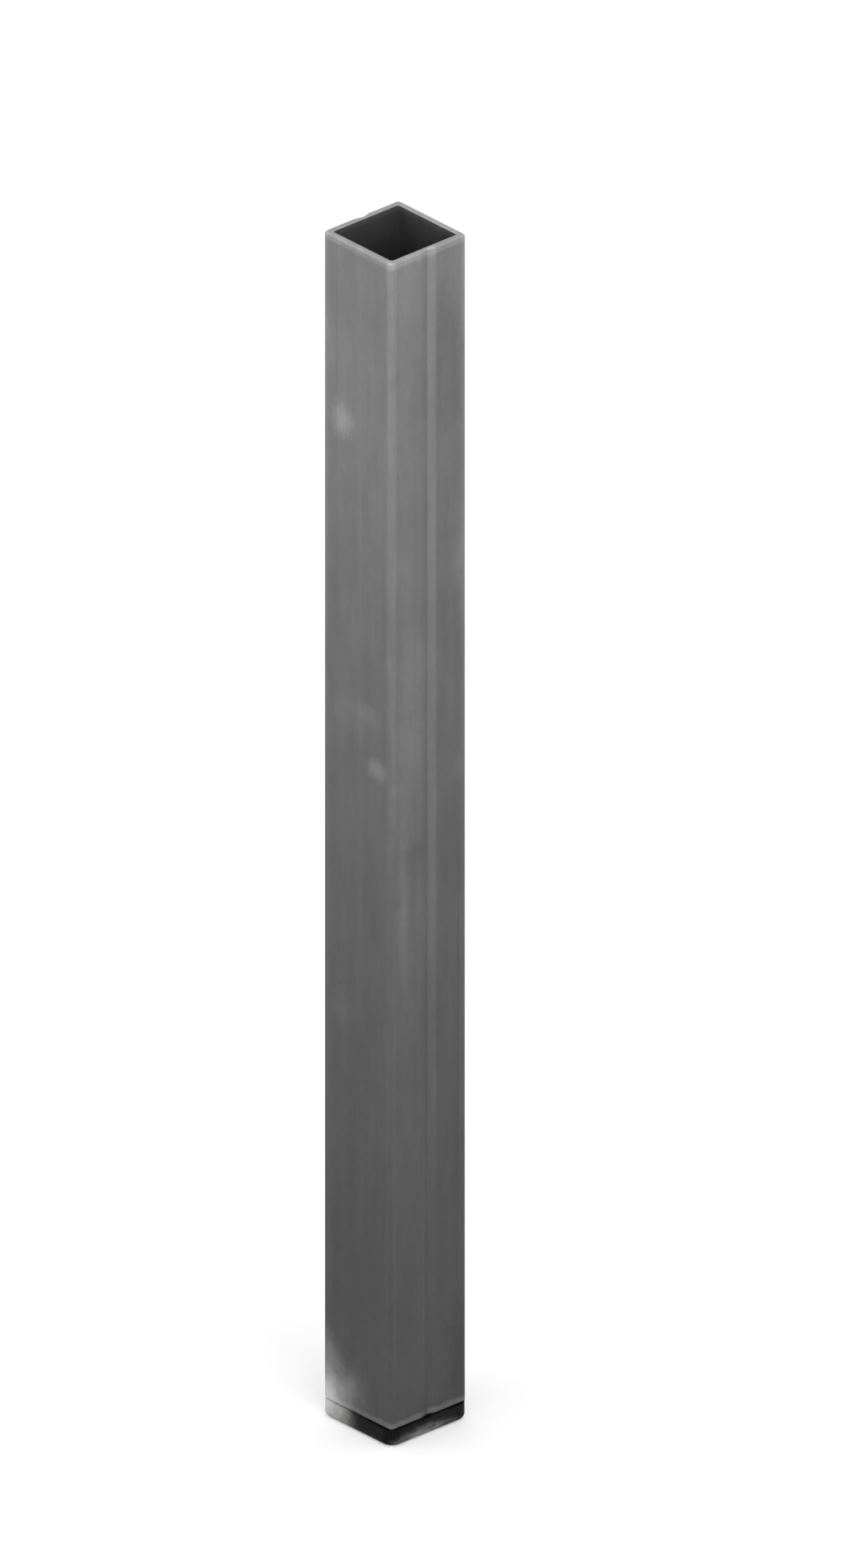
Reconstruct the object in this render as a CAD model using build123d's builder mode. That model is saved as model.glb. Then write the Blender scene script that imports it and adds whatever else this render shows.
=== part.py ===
# Stage platform leg: a grooved square tube that stands on a black push-in foot.
#
# The tube is one aluminium extrusion, sawn square at both ends. Its side faces, +X and -X,
# each carry a shallow V groove down the middle, and its upper end slides into the corner
# pocket of a stage deck. The foot is one moulding: a round-cornered sole that stands a little
# proud of the tube's faces, and above it a hollow plug that grips the bore with barbed fins.
#
# Origin: middle of the sole, on the floor. +Z runs up the leg. Sizes are in millimetres.

import os

from build123d import *

# Whole leg, from the floor to the underside of the deck board
leg_length = 785.0

# Section of the tube
tube_side = 60.0
tube_wall = 4.0
tube_corner_radius = 2.5
bore_corner_radius = 1.5
groove_width = 11.0
groove_depth = 1.4

# Sawn ends of the tube, deburred outside and inside
rim_chamfer = 1.0
bore_chamfer = 0.6

# Sole of the foot, below the tube
sole_height = 11.0
sole_overhang = 1.5  # from a face of the tube out to the side of the sole
sole_corner_radius = 8.0
sole_edge_radius = 3.5  # where the sole meets the floor
sole_rim_radius = 0.5  # where the sole meets the tube

# Plug of the foot, inside the tube
plug_height = 34.0  # above the top of the sole
plug_wall = 3.0
plug_corner_radius = 4.0
plug_nose_chamfer = 2.0

# Barbed fins around the plug
fin_count = 5
fin_pitch = 5.5
fin_start = 4.0  # from the top of the sole to the first fin
fin_reach = 2.4  # from the wall of the plug out to a fin's tip
fin_lip = 0.6  # upright part of a fin's tip
fin_back = 1.8  # height of the slope above the lip
fin_slope = 42.0  # degrees that this slope leans in
fin_clearance = 0.1  # from a seated fin to the bore
fin_corner_relief = 1.0  # how much rounder the fins' corners are than the bore's

# Hollow of the foot, open at the plug's nose
hollow_floor = 5.0  # from the floor up to the bottom of the hollow
hollow_corner_radius = 1.5
web_thickness = 2.2
web_drop = 6.0  # from the plug's nose down to the top of the webs

# Sizes that follow from those above
tube_length = leg_length - sole_height
bore_side = tube_side - 2 * tube_wall
sole_side = tube_side + 2 * sole_overhang
fin_side = bore_side - 2 * fin_clearance
fin_corner_radius = bore_corner_radius + fin_corner_relief
plug_side = fin_side - 2 * fin_reach
hollow_side = plug_side - 2 * plug_wall
plug_top = sole_height + plug_height
web_top = plug_top - web_drop


# Tube
with BuildPart() as leg_tube:
    with BuildSketch(Plane.XY.offset(sole_height)):
        RectangleRounded(tube_side, tube_side, tube_corner_radius)
        with Locations((-tube_side / 2, 0), (tube_side / 2, 0)):
            Polygon(
                (groove_depth, 0),
                (0, groove_width / 2),
                (-groove_depth, 0),
                (0, -groove_width / 2),
                mode=Mode.SUBTRACT,
            )
    extrude(amount=tube_length)
    chamfer(leg_tube.faces().filter_by(Axis.Z).edges(), length=rim_chamfer)

    with BuildSketch(Plane.XY.offset(sole_height)):
        RectangleRounded(bore_side, bore_side, bore_corner_radius)
    extrude(amount=tube_length, mode=Mode.SUBTRACT)
    for rim in leg_tube.faces().filter_by(Axis.Z):
        chamfer(rim.inner_wires()[0].edges(), length=bore_chamfer)
leg_tube.part.label = "leg_tube"


# Foot
with BuildPart() as foot:
    # Sole
    with BuildSketch():
        RectangleRounded(sole_side, sole_side, sole_corner_radius)
    extrude(amount=sole_height)
    fillet(foot.faces().sort_by(Axis.Z)[0].edges(), radius=sole_edge_radius)
    fillet(foot.faces().sort_by(Axis.Z)[-1].edges(), radius=sole_rim_radius)

    # Plug, with a nose that leads it into the bore
    with BuildSketch(Plane.XY.offset(sole_height)):
        RectangleRounded(plug_side, plug_side, plug_corner_radius)
    extrude(amount=plug_height)
    chamfer(foot.faces().sort_by(Axis.Z)[-1].edges(), length=plug_nose_chamfer)

    # Fins, each an upright lip below a slope that leans in
    for fin in range(fin_count):
        fin_bottom = sole_height + fin_start + fin * fin_pitch
        with BuildSketch(Plane.XY.offset(fin_bottom)):
            RectangleRounded(fin_side, fin_side, fin_corner_radius)
        extrude(amount=fin_lip)
        with BuildSketch(Plane.XY.offset(fin_bottom + fin_lip)):
            RectangleRounded(fin_side, fin_side, fin_corner_radius)
        extrude(amount=fin_back, taper=fin_slope)

    # Hollow, with two webs that cross in it
    with BuildSketch(Plane.XY.offset(hollow_floor)):
        RectangleRounded(hollow_side, hollow_side, hollow_corner_radius)
    extrude(amount=plug_top - hollow_floor, mode=Mode.SUBTRACT)
    with BuildSketch(Plane.XY.offset(hollow_floor)):
        Rectangle(hollow_side, web_thickness)
        Rectangle(web_thickness, hollow_side)
    extrude(amount=web_top - hollow_floor)
foot.part.label = "foot"


os.makedirs("parts", exist_ok=True)
export_step(leg_tube.part, "parts/leg_tube.step")
export_step(foot.part, "parts/foot.step")
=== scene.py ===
# Stage platform leg: the finishes of its two pieces, and a plain studio around them.
#
# Lengths are in metres, in the part's own frame: the sole stands on the floor at the origin
# and +Z runs up the leg. The grooved faces look along +X and -X. The camera has the +X face
# on its right and the -Y face on its left.

import math

import bpy
from mathutils import Euler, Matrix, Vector


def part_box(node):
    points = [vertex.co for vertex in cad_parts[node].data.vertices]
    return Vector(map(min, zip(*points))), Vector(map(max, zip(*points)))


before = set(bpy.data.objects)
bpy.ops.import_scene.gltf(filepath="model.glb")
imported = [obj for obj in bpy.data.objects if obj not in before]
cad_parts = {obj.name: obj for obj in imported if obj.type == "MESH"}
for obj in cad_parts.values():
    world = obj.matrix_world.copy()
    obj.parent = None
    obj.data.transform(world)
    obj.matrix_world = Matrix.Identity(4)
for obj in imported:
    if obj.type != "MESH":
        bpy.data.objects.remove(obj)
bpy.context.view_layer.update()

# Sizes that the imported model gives
tube_low, tube_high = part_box("leg_tube")
_, foot_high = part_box("foot")
HALF_SIDE = tube_high.x
SOLE_HALF_SIDE = foot_high.x
LEG_TOP = tube_high.z
TUBE_END = tube_low.z

# Sizes of the tube's section that the finish follows
CORNER_RADIUS = 0.0025
GROOVE_HALF_WIDTH = 0.0055
GROOVE_DEPTH = 0.0014
RIM_CHAMFER = 0.001

# Photograph's frame and viewing angle
IMAGE_WIDTH = 1000
IMAGE_HEIGHT = 1863
VIEW_AZIMUTH = math.radians(48)
VIEW_ELEVATION = math.radians(27)
PIXELS_PER_METRE = 2010
AXIS_PIXEL_X = 469
SOLE_PIXEL_Y = 1682  # where the middle of the sole lies in the picture
CAMERA_DISTANCE = 4.0


class Finish:
    """A material, with short calls for the nodes that make up its look."""

    def __init__(self, name):
        self.material = bpy.data.materials.new(name)
        self.material.use_nodes = True
        self.tree = self.material.node_tree
        self.shader = self.tree.nodes["Principled BSDF"]
        self.place = self.add("ShaderNodeTexCoord").outputs["Object"]
        self.x, self.y, self.z = self.add("ShaderNodeSeparateXYZ", {0: self.place}).outputs

    def add(self, kind, inputs=None, **settings):
        """Adds a node, and gives each listed input a value or a link."""
        node = self.tree.nodes.new(kind)
        for name, value in settings.items():
            setattr(node, name, value)
        for key, value in (inputs or {}).items():
            if isinstance(value, bpy.types.NodeSocket):
                self.tree.links.new(value, node.inputs[key])
            else:
                node.inputs[key].default_value = value
        return node

    def math(self, operation, *values):
        return self.add("ShaderNodeMath", dict(enumerate(values)), operation=operation).outputs[0]

    def product(self, *values):
        result = values[0]
        for value in values[1:]:
            result = self.math("MULTIPLY", result, value)
        return result

    def weighted_sum(self, start, *terms):
        """The start plus each term's value times its weight."""
        result = start
        for value, weight in terms:
            result = self.math("MULTIPLY_ADD", value, weight, result)
        return result

    def factor(self, value, amount):
        """1 where the value is 0, and 1 + amount where it is 1."""
        return self.weighted_sum(1.0, (value, amount))

    def swing(self, value, amount):
        """A noise value turned into a factor around 1."""
        return self.weighted_sum(1 - amount, (value, 2 * amount))

    def blend(self, share, first, second):
        """The first value where share is 0, and the second where it is 1."""
        inputs = {0: share, 2: first, 3: second}
        return self.add("ShaderNodeMix", inputs, data_type="FLOAT").outputs[0]

    def vector(self, operation, first, second=(0, 0, 0)):
        """Vector maths on one or two vectors, each a value or a link."""
        node = self.add("ShaderNodeVectorMath", {0: first, 1: second}, operation=operation)
        return node.outputs["Value" if operation == "LENGTH" else "Vector"]

    def outward(self):
        """|x| + |y|, which is largest at the corners of a square section."""
        return self.math("ADD", self.math("ABSOLUTE", self.x), self.math("ABSOLUTE", self.y))

    def ramp(self, value, low, high, start=0.0, end=1.0):
        """Goes smoothly from start to end while the value goes from low to high."""
        inputs = {"Value": value, "From Min": low, "From Max": high, "To Min": start, "To Max": end}
        return self.add("ShaderNodeMapRange", inputs, interpolation_type="SMOOTHSTEP").outputs["Result"]

    def noise(self, size, seed, detail=2.0, roughness=0.5):
        """Noise from 0 to 1 whose features are about as large as size along X, Y and Z."""
        scaled = self.vector("DIVIDE", self.place, size)
        inputs = {"Vector": scaled, "W": seed, "Scale": 1.0, "Detail": detail, "Roughness": roughness}
        return self.add("ShaderNodeTexNoise", inputs, noise_dimensions="4D").outputs[0]

    def patch(self, centre, radii, seed, tilt=(0, 0, 0), soft=0.9, ragged=0.5):
        """A mark: 1 in the middle of an ellipsoid, fading to 0 at its ragged edge."""
        offset = self.vector("SUBTRACT", self.place, centre)
        inputs = {"Vector": offset, "Rotation": tilt}
        turn = self.add("ShaderNodeVectorRotate", inputs, rotation_type="EULER_XYZ", invert=True)
        distance = self.vector("LENGTH", self.vector("DIVIDE", turn.outputs["Vector"], radii))
        grain = min(radii)
        wobble = self.noise((grain, grain, 1.6 * grain), seed, detail=4.0, roughness=0.65)
        uneven = self.weighted_sum(distance, (wobble, 2 * ragged))
        return self.ramp(uneven, 1 + ragged, 1 + ragged - soft)

    def drive(self, socket, value):
        """Links the shader's socket to a value that varies over the surface."""
        self.tree.links.new(value, self.shader.inputs[socket])

    def fix(self, **values):
        """Gives shader sockets one value for the whole surface. Their names have _ for a space."""
        for name, value in values.items():
            self.shader.inputs[name.replace("_", " ")].default_value = value

    def bump(self, height, depth):
        """Gives the surface a relief: height runs from 0 to 1, and depth is its size."""
        inputs = {"Height": height, "Strength": 1.0, "Distance": depth}
        self.drive("Normal", self.add("ShaderNodeBump", inputs).outputs["Normal"])

    def colour(self, tone, tint):
        """Sets the base colour: a grey tone, lightly tinted."""
        grey = self.add("ShaderNodeCombineColor", {0: tone, 1: tone, 2: tone}).outputs[0]
        inputs = {0: 1.0, 6: grey, 7: (*tint, 1.0)}
        tinted = self.add("ShaderNodeMix", inputs, data_type="RGBA", blend_type="MULTIPLY").outputs[2]
        self.drive("Base Color", tinted)


# Marks on the tube's faces. Across runs from -1 to 1, from a face's left edge to its right edge
# as it is looked at, and height is above the floor.
FACE_TURNS = {"-Y": 0.0, "+X": 0.5 * math.pi, "+Y": math.pi, "-X": 1.5 * math.pi}
MARK_THICKNESS = 0.003  # how far a mark reaches in from its face

# Face, across, height, half width, half height, lean in degrees, strength
SCUFF_SEED = 10.0
SCUFFS = [
    ("-Y", -0.44, 0.665, 0.0140, 0.0165, 0, 0.54),
    ("-Y", -0.80, 0.712, 0.0080, 0.0260, 0, 0.14),
    ("-Y", 0.58, 0.445, 0.0130, 0.0105, 0, 0.62),
    ("-Y", 0.39, 0.479, 0.0170, 0.0110, 0, 0.18),
    ("-Y", -0.05, 0.474, 0.0300, 0.0180, 0, 0.14),
    ("-Y", -0.50, 0.275, 0.0130, 0.0190, 0, 0.22),
    ("-Y", 0.10, 0.300, 0.0100, 0.0340, 8, 0.08),
    ("+X", -0.86, 0.434, 0.0090, 0.0080, 0, 0.16),
    ("+X", -0.69, 0.357, 0.0070, 0.0800, 0, 0.28),
    ("+X", -0.50, 0.389, 0.0220, 0.0100, 0, -0.10),
    ("+X", 0.78, 0.571, 0.0090, 0.0220, 0, 0.15),
    ("+X", 0.47, 0.592, 0.0100, 0.0080, 0, -0.08),
    ("+X", 0.78, 0.433, 0.0090, 0.0120, 0, 0.13),
    ("+X", -0.45, 0.200, 0.0060, 0.0280, -6, 0.08),
    ("+Y", 0.30, 0.560, 0.0070, 0.0120, 10, 0.22),
    ("+Y", -0.55, 0.220, 0.0035, 0.0220, -25, 0.16),
    ("-X", -0.35, 0.410, 0.0060, 0.0090, 0, 0.20),
    ("-X", 0.60, 0.130, 0.0035, 0.0140, 30, 0.16),
]

# Broad clouds of lighter and duller metal, listed in the same way
CLOUD_SEED = 80.0
CLOUDS = [
    ("-Y", 0.00, 0.640, 0.044, 0.090, 0, 0.08),
    ("-Y", 0.00, 0.760, 0.044, 0.060, 0, -0.06),
    ("-Y", -0.10, 0.330, 0.040, 0.090, 0, -0.06),
    ("-Y", -0.10, 0.255, 0.044, 0.070, 0, -0.10),
    ("-Y", 0.00, 0.120, 0.050, 0.130, 0, -0.16),
    ("+X", 0.00, 0.720, 0.050, 0.090, 0, -0.09),
    ("+X", 0.60, 0.700, 0.022, 0.085, 0, -0.12),
    ("+X", -0.35, 0.512, 0.018, 0.034, 0, 0.16),
    ("+X", -0.55, 0.455, 0.024, 0.070, 0, 0.15),
    ("+X", -0.20, 0.330, 0.030, 0.060, 0, 0.06),
    ("+X", 0.80, 0.045, 0.016, 0.055, 0, -0.22),
    ("+Y", 0.20, 0.500, 0.034, 0.130, 0, -0.07),
    ("-X", -0.10, 0.300, 0.034, 0.120, 0, 0.07),
]


def face_point(face, across, height):
    """A place on one face of the tube, and the turn about Z that lays +X along the face."""
    turn = FACE_TURNS[face]
    point = Vector((across * HALF_SIDE, -HALF_SIDE, height))
    point.rotate(Euler((0, 0, turn)))
    return point, turn


def marks(finish, listed, first_seed):
    """The listed marks laid over each other, each at its own strength."""
    laid = []
    for number, (face, across, height, half_width, half_height, lean, strength) in enumerate(listed):
        centre, turn = face_point(face, across, height)
        radii = (half_width, MARK_THICKNESS, half_height)
        tilt = (0, math.radians(lean), turn)
        laid.append((finish.patch(centre, radii, first_seed + number, tilt), strength))
    return finish.weighted_sum(0.0, *laid)


# Pale patches round one corner of the leg, just above the floor: middle, radii, strength.
# The first is the corner itself, then come the metal above it and beside it, the foot's side,
# and the joint between the tube and the foot.
PALE_TONE = 0.62
PALE_SEED = 60.0
PALE_SPOTS = [
    ((-HALF_SIDE, -HALF_SIDE, 0.012), (0.026, 0.026, 0.026), 0.95),
    ((-0.027, -HALF_SIDE, 0.031), (0.018, 0.018, 0.036), 0.28),
    ((-0.010, -HALF_SIDE, 0.024), (0.020, 0.014, 0.024), 0.22),
    ((-0.015, -SOLE_HALF_SIDE, 0.004), (0.0195, 0.012, 0.011), 0.42),
    ((-0.012, -SOLE_HALF_SIDE, 0.0105), (0.012, 0.006, 0.006), 0.30),
]


def pale_patch(finish):
    """A pale, dull patch: 1 where it covers the surface."""
    spots = []
    for number, (centre, radii, strength) in enumerate(PALE_SPOTS):
        spot = finish.patch(centre, radii, PALE_SEED + number, soft=1.1, ragged=0.45)
        spots.append((spot, strength))
    return finish.math("MINIMUM", finish.weighted_sum(0.0, *spots), 1.0)


# Tones of the metal at the floor and at the top: the lower leg is darker, a painted shade
FOOT_TONE = 0.0755
TOP_TONE = 0.216
PAINTED_SHADE_POWER = 1.6


def height_tone(finish):
    """The metal's tone at its height above the floor, darker towards the floor as painted shade."""
    share = finish.math("DIVIDE", finish.math("MAXIMUM", finish.z, 0.0), LEG_TOP)
    # Painted shade: the lower the metal, the darker its tone
    unshaded = finish.math("POWER", share, PAINTED_SHADE_POWER)
    return finish.weighted_sum(FOOT_TONE, (unshaded, TOP_TONE - FOOT_TONE))


# Layers of uneven tone: size across, size along Z, seed, detail, roughness, swing of the tone.
# The first three are die lines, which run the whole length, and the others oxide and dirt.
METAL_LAYERS = {
    "bands": (0.0075, 1.6, 1.0, 2.0, 0.5, 0.10),
    "streaks": (0.0018, 0.9, 2.0, 3.0, 0.65, 0.11),
    "hairlines": (0.0004, 0.25, 3.0, 3.0, 0.7, 0.09),
    "stains": (0.020, 0.036, 6.0, 4.0, 0.55, 0.20),
    "drips": (0.009, 0.050, 8.0, 3.0, 0.6, 0.14),
    "mottle": (0.005, 0.007, 7.0, 5.0, 0.7, 0.10),
}

# Single die lines, bright and dark: size across, size along Z, seed, the noise at which a line
# begins and at which it is full, strength
SINGLE_LINES = [
    (0.0021, 1.2, 4.0, 0.69, 0.76, 0.12),
    (0.0026, 1.1, 5.0, 0.30, 0.24, -0.12),
]


def metal_layers(finish):
    """The layers by name, and the factor that they and the single lines give the tone."""
    layers = {}
    factors = []
    for name, (across, along, seed, detail, roughness, amount) in METAL_LAYERS.items():
        layers[name] = finish.noise((across, across, along), seed, detail, roughness)
        factors.append(finish.swing(layers[name], amount))
    for across, along, seed, begins, full, strength in SINGLE_LINES:
        line = finish.ramp(finish.noise((across, across, along), seed, detail=1.0), begins, full)
        factors.append(finish.factor(line, strength))
    return layers, finish.product(*factors)


# Painted light and shade on the grooved faces: how much lighter or darker each strip is
FLANK_HIGHLIGHT = 0.15
FLANK_SHADE = -0.04
SHADE_BESIDE_GROOVE = -0.09  # painted shade, on the highlighted flank's side
LIGHT_BEFORE_GROOVE = 0.03  # painted light, on the shaded flank's side
EDGE_HIGHLIGHT = 0.06

# Where those strips end, and how softly
GROOVED_FROM = HALF_SIDE - GROOVE_DEPTH - 0.001  # |x| on the grooved faces, 1 mm to spare
GROOVE_EDGE_SOFTNESS = 0.0008
FLANK_ENDS = (-0.0003, 0.0006)  # round the groove's bottom, seen from either flank
SIDE_FADE = 0.0020
EDGE_HIGHLIGHT_FADE = (0.62 * HALF_SIDE, 0.90 * HALF_SIDE)

# The painted light and shade are weaker near the floor: heights between which they grow, and their
# share below them
GROOVE_SHADING_HEIGHTS = (0.06, 0.26)
GROOVE_SHADING_LOW = 0.25


def groove_light_and_shade(finish):
    """Factor for the grooved faces: a painted highlight on one flank and painted shade on the other,
    darker and lighter bands beside them, and a highlight towards one edge.
    """
    on_side = finish.math("GREATER_THAN", finish.math("ABSOLUTE", finish.x), GROOVED_FROM)
    across = finish.math("MULTIPLY", finish.y, finish.math("SIGN", finish.x))
    within = finish.ramp(
        finish.math("ABSOLUTE", across),
        GROOVE_HALF_WIDTH + GROOVE_EDGE_SOFTNESS,
        GROOVE_HALF_WIDTH - GROOVE_EDGE_SOFTNESS,
    )
    begins, full = FLANK_ENDS
    # One flank gets a painted highlight and the other painted shade
    lit_flank = finish.product(within, finish.ramp(across, begins, full))
    shaded_flank = finish.product(within, finish.ramp(across, -begins, -full))
    beside = finish.ramp(across, GROOVE_HALF_WIDTH, GROOVE_HALF_WIDTH + SIDE_FADE)
    before = finish.ramp(across, -GROOVE_HALF_WIDTH, -GROOVE_HALF_WIDTH - SIDE_FADE)
    edge = finish.ramp(across, *EDGE_HIGHLIGHT_FADE)
    change = finish.weighted_sum(
        0.0,
        (lit_flank, FLANK_HIGHLIGHT),
        (shaded_flank, FLANK_SHADE),
        (beside, SHADE_BESIDE_GROOVE),
        (before, LIGHT_BEFORE_GROOVE),
        (edge, EDGE_HIGHLIGHT),
    )
    strength = finish.ramp(finish.z, *GROOVE_SHADING_HEIGHTS, GROOVE_SHADING_LOW, 1.0)
    return finish.factor(finish.product(change, on_side), strength)


# Corners are lighter, partly rubbed metal and partly a painted highlight, more so on the upper half of
# the leg
CORNER_WEAR_AND_HIGHLIGHT = 0.22
CORNER_WEAR_AND_HIGHLIGHT_LOW = 0.30  # share of it on the lower half
CORNER_WEAR_AND_HIGHLIGHT_HEIGHTS = (0.36, 0.54)
CORNER_REACH = 2 * HALF_SIDE - (2 - math.sqrt(2)) * CORNER_RADIUS  # |x| + |y| at a corner
CORNER_FADE = (0.0040, 0.0008)  # how far inside that the wear begins and is full


def corner_wear_and_highlight(finish):
    """Factor for the tube's long corners: rubbed metal and a painted highlight."""
    begins, full = CORNER_FADE
    uneven = finish.noise((0.002, 0.002, 0.030), 30.0, detail=4.0)
    # Worn metal and a painted highlight along the corners
    worn_and_lit = finish.product(
        finish.ramp(finish.outward(), CORNER_REACH - begins, CORNER_REACH - full),
        finish.ramp(uneven, 0.10, 0.60),
        finish.ramp(finish.z, *CORNER_WEAR_AND_HIGHLIGHT_HEIGHTS, CORNER_WEAR_AND_HIGHLIGHT_LOW, 1.0),
    )
    return finish.factor(worn_and_lit, CORNER_WEAR_AND_HIGHLIGHT)


# Strips next to the ends, rubbed metal at the top and a painted highlight above the foot: the distances
# from the end at which a strip begins and at which it is full, and its strength
TOP_STRIP = (0.0055, 0.0025, 0.35)
FOOT_HIGHLIGHT_STRIP = (0.0058, 0.0028, 0.85)
STRIP_FRAY = 0.0016  # how far the edge of a strip swings up and down

# Sawn and deburred ends are bright, with the saw's fine arcs
SAWN_TONE = 1.25
SAWN_FADE = (1.05 * RIM_CHAMFER, 0.90 * RIM_CHAMFER)
SAW_CENTRE = (-0.16, -0.11, 0.0)
SAW_PITCH = 0.0009
SAW_ARC_SWING = 0.05


def end_wear(finish):
    """Where the tube is sawn, the saw's arcs from -1 to 1, and the factor for the ends."""
    below_top = finish.math("SUBTRACT", LEG_TOP, finish.z)
    above_foot = finish.math("SUBTRACT", finish.z, TUBE_END)
    sawn = finish.ramp(finish.math("MINIMUM", below_top, above_foot), *SAWN_FADE)

    from_saw = finish.vector("SUBTRACT", finish.place, SAW_CENTRE)
    saw_radius = finish.vector("LENGTH", finish.vector("MULTIPLY", from_saw, (1, 1, 0)))
    arcs = finish.math("SINE", finish.math("MULTIPLY", saw_radius, 2 * math.pi / SAW_PITCH))
    sawn_factor = finish.blend(sawn, 1.0, finish.weighted_sum(SAWN_TONE, (arcs, SAW_ARC_SWING)))

    uneven = finish.noise((0.007, 0.007, 0.007), 9.0, detail=4.0)
    fray = finish.weighted_sum(-STRIP_FRAY, (uneven, 2 * STRIP_FRAY))
    strips = []
    # The strip above the foot is a painted highlight along the joint
    for distance, (begins, full, strength) in ((below_top, TOP_STRIP), (above_foot, FOOT_HIGHLIGHT_STRIP)):
        strips.append((finish.ramp(finish.math("ADD", distance, fray), begins, full), strength))
    return sawn, arcs, finish.product(finish.weighted_sum(1.0, *strips), sawn_factor)


METAL_TINT = (1.0, 1.0, 1.003)
METAL_ROUGHNESS = 0.36
METALLIC_SHARE = 0.85
METAL_RELIEF = 0.00003


def make_aluminium():
    """Dull mill-finish extrusion: die lines up the length, oxide, scuffs, and corners with wear and a
    painted highlight.
    """
    finish = Finish("mill_aluminium")
    layers, layers_factor = metal_layers(finish)
    scuffs = marks(finish, SCUFFS, SCUFF_SEED)
    clouds = marks(finish, CLOUDS, CLOUD_SEED)
    sawn, arcs, ends_factor = end_wear(finish)
    tone = finish.product(
        height_tone(finish),
        layers_factor,
        finish.factor(scuffs, 1.0),
        finish.factor(clouds, 1.0),
        groove_light_and_shade(finish),
        corner_wear_and_highlight(finish),
        ends_factor,
    )
    pale = pale_patch(finish)
    pale_swings = finish.swing(layers["mottle"], 0.25), finish.swing(layers["drips"], 0.20)
    finish.colour(finish.blend(pale, tone, finish.product(PALE_TONE, *pale_swings)), METAL_TINT)

    # Gloss and relief follow the same lines, and the pale patches are dull and hardly metallic
    rough = ((layers["streaks"], 0.16), (layers["stains"], 0.10), (scuffs, 0.15), (pale, 0.25))
    relief = ((layers["streaks"], 0.5), (layers["hairlines"], 0.3), (finish.product(sawn, arcs), 0.2))
    finish.drive("Roughness", finish.weighted_sum(METAL_ROUGHNESS, *rough))
    finish.drive("Metallic", finish.weighted_sum(METALLIC_SHARE, (pale, -0.60)))
    finish.bump(finish.weighted_sum(0.0, *relief), METAL_RELIEF)
    finish.fix(Anisotropic=0.4)
    return finish.material


PLASTIC_TONE = 0.001
PLASTIC_TINT = (1.0, 0.995, 0.985)
PLASTIC_ROUGHNESS = 0.5
PLASTIC_RELIEF = 0.00004

# Painted highlight low on the foot's +X side, where its rounded lower edge meets the light: middle,
# radii, seed
LOWER_EDGE_HIGHLIGHT = ((SOLE_HALF_SIDE, -0.005, 0.0010), (0.008, 0.034, 0.0085), 43.0)


def make_foot_plastic():
    """Black moulded plastic: fine grain, chalky scuffs on its sides, dust along its lower edge, and a
    painted highlight low on its +X side.
    """
    finish = Finish("black_plastic")
    grain = finish.noise((0.0006, 0.0006, 0.0006), 40.0, detail=3.0, roughness=0.6)
    cloud = finish.noise((0.012, 0.012, 0.006), 41.0, detail=4.0, roughness=0.6)
    scrape = finish.noise((0.007, 0.007, 0.0012), 42.0, detail=5.0, roughness=0.7)

    # Sides scuff in the middle, and the round corners stay black
    off_corner = finish.ramp(finish.outward(), 2 * SOLE_HALF_SIDE - 0.006, SOLE_HALF_SIDE + 0.012)
    chalk = finish.product(off_corner, finish.ramp(cloud, 0.36, 0.66))
    low = finish.ramp(finish.z, 0.0065, 0.0015)
    dust = finish.product(off_corner, low, finish.ramp(scrape, 0.35, 0.65))
    # Painted highlight on the lower edge of the +X side
    lower_edge_highlight = finish.product(
        finish.patch(*LOWER_EDGE_HIGHLIGHT, ragged=0.4),
        finish.ramp(scrape, 0.25, 0.60),
    )

    wear_and_highlight = ((grain, 0.002), (chalk, 0.012), (dust, 0.022), (lower_edge_highlight, 0.200))
    tone = finish.weighted_sum(PLASTIC_TONE, *wear_and_highlight)
    pale_tone = finish.product(PALE_TONE, finish.swing(cloud, 0.25))
    finish.colour(finish.blend(pale_patch(finish), tone, pale_tone), PLASTIC_TINT)
    finish.drive("Roughness", finish.weighted_sum(PLASTIC_ROUGHNESS, (chalk, 0.2), (dust, 0.2)))
    finish.bump(grain, PLASTIC_RELIEF)
    finish.fix(Specular_IOR_Level=0.09)
    return finish.material


def dress(node, material):
    """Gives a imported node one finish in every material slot."""
    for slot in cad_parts[node].material_slots:
        slot.material = material


dress("leg_tube", make_aluminium())
dress("foot", make_foot_plastic())


def seen_directly(tree):
    """1 for what the camera sees, straight or in gloss or glass, and 0 for light on things."""
    rays = tree.nodes.new("ShaderNodeLightPath").outputs
    seen = rays["Is Camera Ray"]
    for name in ("Is Glossy Ray", "Is Transmission Ray"):
        larger = tree.nodes.new("ShaderNodeMath")
        larger.operation = "MAXIMUM"
        tree.links.new(seen, larger.inputs[0])
        tree.links.new(rays[name], larger.inputs[1])
        seen = larger.outputs[0]
    return seen


# Floor: white where nothing shades it, as its own glow is only seen and lights nothing
WHITE = (1.0, 1.0, 1.0, 1.0)
FLOOR_SIDE = 24.0
FLOOR_COLOUR = (0.90, 0.90, 0.90, 1.0)
FLOOR_GLOW = 0.26


def make_floor():
    bpy.ops.mesh.primitive_plane_add(size=FLOOR_SIDE)
    floor = bpy.context.object
    floor.name = "floor"
    finish = Finish("pale_floor")
    finish.fix(Base_Color=FLOOR_COLOUR, Roughness=0.9, Specular_IOR_Level=0.0, Emission_Color=WHITE)
    finish.drive("Emission Strength", finish.math("MULTIPLY", seen_directly(finish.tree), FLOOR_GLOW))
    floor.data.materials.append(finish.material)


make_floor()

# Light
WORLD_LEVEL = 0.78


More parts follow.
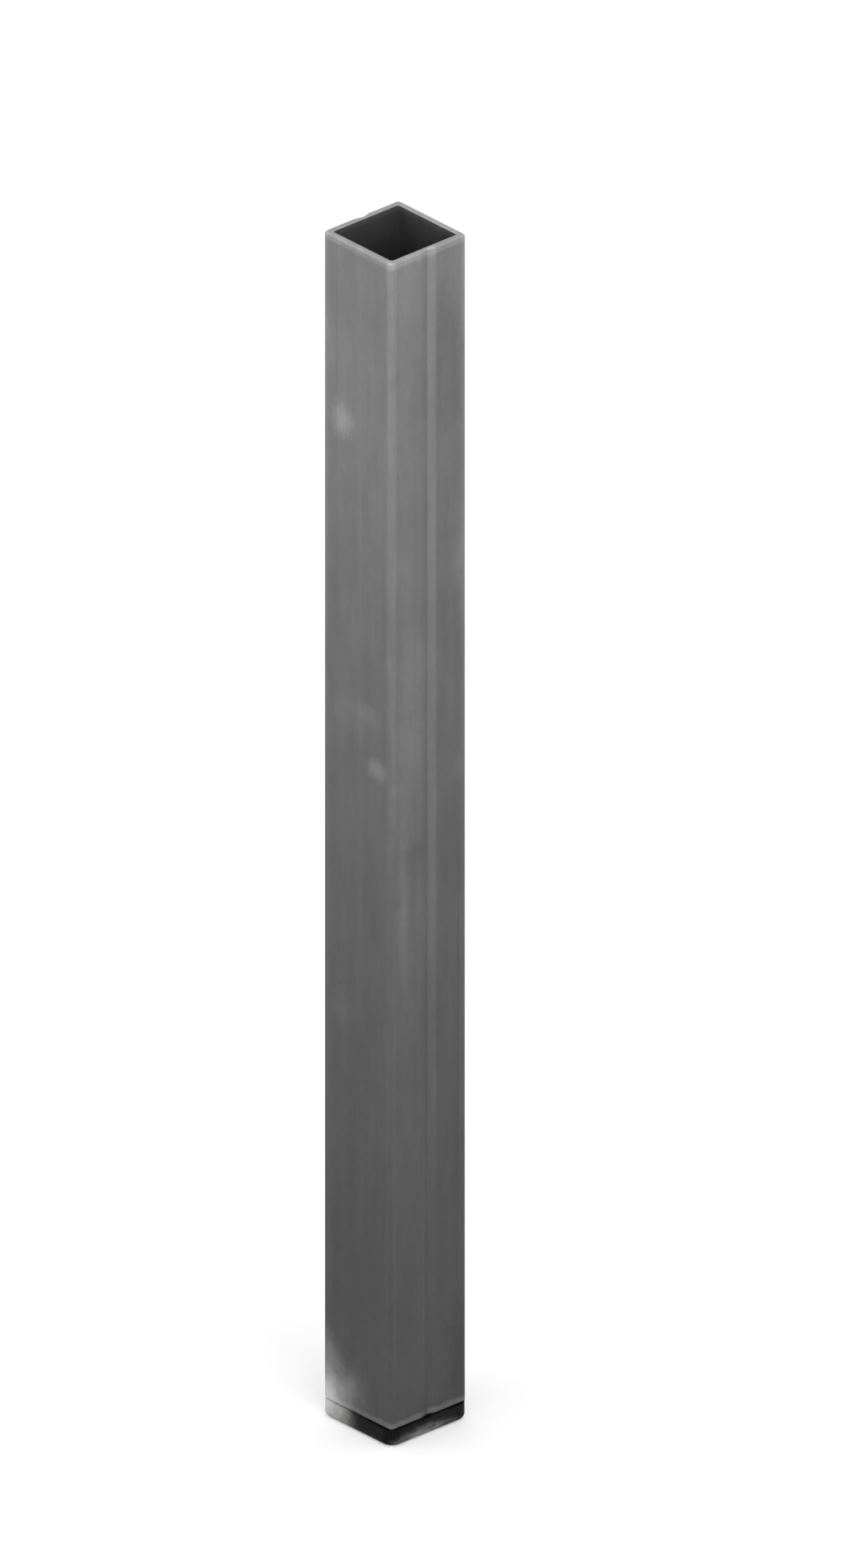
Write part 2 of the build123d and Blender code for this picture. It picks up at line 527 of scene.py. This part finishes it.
def make_world():
    """Even light from all round, which looks white where it is seen."""
    world = bpy.data.worlds.new("studio")
    world.use_nodes = True
    tree = world.node_tree
    background = tree.nodes["Background"]
    background.inputs["Color"].default_value = WHITE
    level = tree.nodes.new("ShaderNodeMapRange")
    tree.links.new(seen_directly(tree), level.inputs["Value"])
    level.inputs["To Min"].default_value = WORLD_LEVEL
    level.inputs["To Max"].default_value = 1.0
    tree.links.new(level.outputs["Result"], background.inputs["Strength"])
    bpy.context.scene.world = world


def softbox(name, azimuth, elevation, distance, side, power):
    """A square lamp that faces the middle of the leg. Azimuth 0 is on the -Y side, 90 on +X."""
    turn = math.radians(azimuth)
    rise = math.radians(elevation)
    away = Vector((math.sin(turn) * math.cos(rise), -math.cos(turn) * math.cos(rise), math.sin(rise)))
    lamp = bpy.data.lights.new(name, "AREA")
    lamp.size = side
    lamp.energy = power
    holder = bpy.data.objects.new(name, lamp)
    holder.location = Vector((0, 0, LEG_TOP / 2)) + away * distance
    holder.rotation_euler = away.to_track_quat("Z", "Y").to_euler()
    bpy.context.scene.collection.objects.link(holder)


make_world()
softbox("key", azimuth=75, elevation=35, distance=3.4, side=2.2, power=30)
softbox("fill", azimuth=-25, elevation=40, distance=3.6, side=2.4, power=14)


def make_camera():
    """A camera with parallel rays, at the photograph's angle and scale."""
    lens = bpy.data.cameras.new("camera")
    lens.type = "ORTHO"
    lens.ortho_scale = IMAGE_HEIGHT / PIXELS_PER_METRE
    camera = bpy.data.objects.new("camera", lens)
    bpy.context.scene.collection.objects.link(camera)

    level = Vector((math.sin(VIEW_AZIMUTH), -math.cos(VIEW_AZIMUTH), 0))
    back = level * math.cos(VIEW_ELEVATION) + Vector((0, 0, math.sin(VIEW_ELEVATION)))
    right = Vector((math.cos(VIEW_AZIMUTH), math.sin(VIEW_AZIMUTH), 0))
    aside = (IMAGE_WIDTH / 2 - AXIS_PIXEL_X) / PIXELS_PER_METRE
    above = (SOLE_PIXEL_Y - IMAGE_HEIGHT / 2) / PIXELS_PER_METRE / math.cos(VIEW_ELEVATION)
    target = right * aside + Vector((0, 0, above))
    camera.location = target + back * CAMERA_DISTANCE
    camera.rotation_euler = back.to_track_quat("Z", "Y").to_euler()
    bpy.context.scene.camera = camera


make_camera()
bpy.context.scene.view_settings.view_transform = "Standard"
